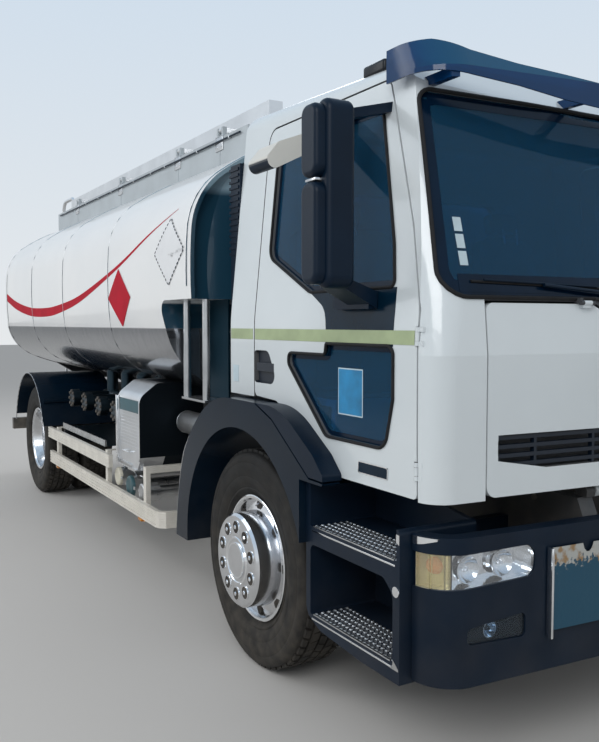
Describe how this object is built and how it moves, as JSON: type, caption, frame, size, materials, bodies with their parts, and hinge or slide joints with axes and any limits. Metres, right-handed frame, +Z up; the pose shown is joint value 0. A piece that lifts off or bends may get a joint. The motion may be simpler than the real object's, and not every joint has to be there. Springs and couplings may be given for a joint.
{
  "type": "tanker truck",
  "caption": "Two-axle tanker truck with a tilting cab, opening doors and front flap, steered front wheels, twin rear wheels, steel tank with a walkway and folding handrail",
  "frame": {"origin": "centre of the bounding box on the ground", "axes": "+X forward, +Y left, +Z up"},
  "size_m": [7.4482, 2.8886, 3.018],
  "materials": {
    "chassis_paint": "satin dark grey frame paint",
    "cast_steel": "rough cast and forged steel, road dirt",
    "bright_steel": "brushed stainless steel",
    "aluminium": "mill finish aluminium",
    "dark_plastic": "moulded dark grey plastic, fine grain",
    "lamp_glass": "clear lens over reflectors",
    "tank_paint": "gloss off-white paint",
    "cab_paint": "gloss white paint",
    "glass": "dark tinted safety glass",
    "seat_fabric": "dark woven fabric",
    "visor": "dark blue tinted plastic",
    "tyre": "black rubber with a road tread",
    "rim": "polished steel disc wheel"
  },
  "bodies": {
    "chassis": {"frame_rails": "chassis_paint", "crossmembers": "chassis_paint", "front_axle_beam": "cast_steel", "rear_axle": "cast_steel", "leaf_springs": "cast_steel", "engine_block": "cast_steel", "drive_shaft": "bright_steel", "fuel_and_air_tanks": "aluminium", "front_bumper": "dark_plastic", "lamp_units": "lamp_glass", "entry_steps": "dark_plastic", "mudguards": "dark_plastic", "tank_barrel": "tank_paint", "tank_saddles": "chassis_paint", "walkway_coaming": "tank_paint", "manhole_lids": "aluminium", "rear_ladder": "aluminium", "pipework": "bright_steel", "meter_cabinet": "aluminium", "side_guards": "aluminium", "rear_bumper": "chassis_paint"},
    "cab": {"cab_floor": "cab_paint", "cab_back_wall": "cab_paint", "cab_roof": "cab_paint", "cab_side_panels": "cab_paint", "cab_front_pillars": "cab_paint", "cab_front_wall": "dark_plastic", "cab_glass": "glass", "dashboard": "dark_plastic", "seats": "seat_fabric", "steering_wheel": "dark_plastic", "sun_visor": "visor", "intake_stack": "dark_plastic"},
    "door_right": {"door_right": "cab_paint", "door_glass_right": "glass", "door_trim_right": "dark_plastic"},
    "door_left": {"door_left": "cab_paint", "door_glass_left": "glass", "door_trim_left": "dark_plastic"},
    "front_flap": {"front_flap": "cab_paint"},
    "handrail": {"handrail": "aluminium"},
    "knuckle_right": {"knuckle_right": "cast_steel"},
    "knuckle_left": {"knuckle_left": "cast_steel"},
    "tie_rod": {"tie_rod": "cast_steel"},
    "wheel_front_right": {"tyre_front_right": "tyre", "rim_front_right": "rim"},
    "wheel_front_left": {"tyre_front_left": "tyre", "rim_front_left": "rim"},
    "wheel_rear_right": {"tyres_rear_right": "tyre", "rims_rear_right": "rim"},
    "wheel_rear_left": {"tyres_rear_left": "tyre", "rims_rear_left": "rim"}
  },
  "joints": [
    {"name": "cab_tilt", "type": "hinge", "parent": "chassis", "child": "cab", "pos_m": [3.585, 0, 1], "axis": [0, 1, 0], "range_deg": [0, 50]},
    {"name": "door_right_hinge", "type": "hinge", "parent": "cab", "child": "door_right", "pos_m": [3.535, -1.148, 1.5], "axis": [0, 0, 1], "range_deg": [0, 70]},
    {"name": "door_left_hinge", "type": "hinge", "parent": "cab", "child": "door_left", "pos_m": [3.535, 1.148, 1.5], "axis": [0, 0, -1], "range_deg": [0, 70]},
    {"name": "front_flap_hinge", "type": "hinge", "parent": "cab", "child": "front_flap", "pos_m": [3.67, 0, 1.72], "axis": [0, -1, 0], "range_deg": [0, 75]},
    {"name": "handrail_raise", "type": "hinge", "parent": "chassis", "child": "handrail", "pos_m": [0, -0.735, 2.845], "axis": [1, 0, 0], "range_deg": [0, 90]},
    {"name": "steer_right", "type": "hinge", "parent": "chassis", "child": "knuckle_right", "pos_m": [2.285, -0.95, 0.522], "axis": [0, 0, 1], "range_deg": [-38, 38]},
    {"name": "steer_left", "type": "hinge", "parent": "chassis", "child": "knuckle_left", "pos_m": [2.285, 0.95, 0.522], "axis": [0, 0, 1], "range_deg": [-38, 38]},
    {"name": "tie_rod_joint", "type": "hinge", "parent": "knuckle_right", "child": "tie_rod", "pos_m": [2.125, -0.95, 0.41], "axis": [0, 0, 1], "range_deg": [-38, 38]},
    {"name": "wheel_front_right_spin", "type": "hinge", "parent": "knuckle_right", "child": "wheel_front_right", "pos_m": [2.285, -1.03, 0.522], "axis": [0, 1, 0], "continuous": true},
    {"name": "wheel_front_left_spin", "type": "hinge", "parent": "knuckle_left", "child": "wheel_front_left", "pos_m": [2.285, 1.03, 0.522], "axis": [0, 1, 0], "continuous": true},
    {"name": "wheel_rear_right_spin", "type": "hinge", "parent": "chassis", "child": "wheel_rear_right", "pos_m": [-2.445, -0.865, 0.522], "axis": [0, 1, 0], "continuous": true},
    {"name": "wheel_rear_left_spin", "type": "hinge", "parent": "chassis", "child": "wheel_rear_left", "pos_m": [-2.445, 0.865, 0.522], "axis": [0, 1, 0], "continuous": true}
  ],
  "couplings": [
    {"joint": "steer_left", "follows": "steer_right", "ratio": 1},
    {"joint": "tie_rod_joint", "follows": "steer_right", "ratio": -1}
  ]
}
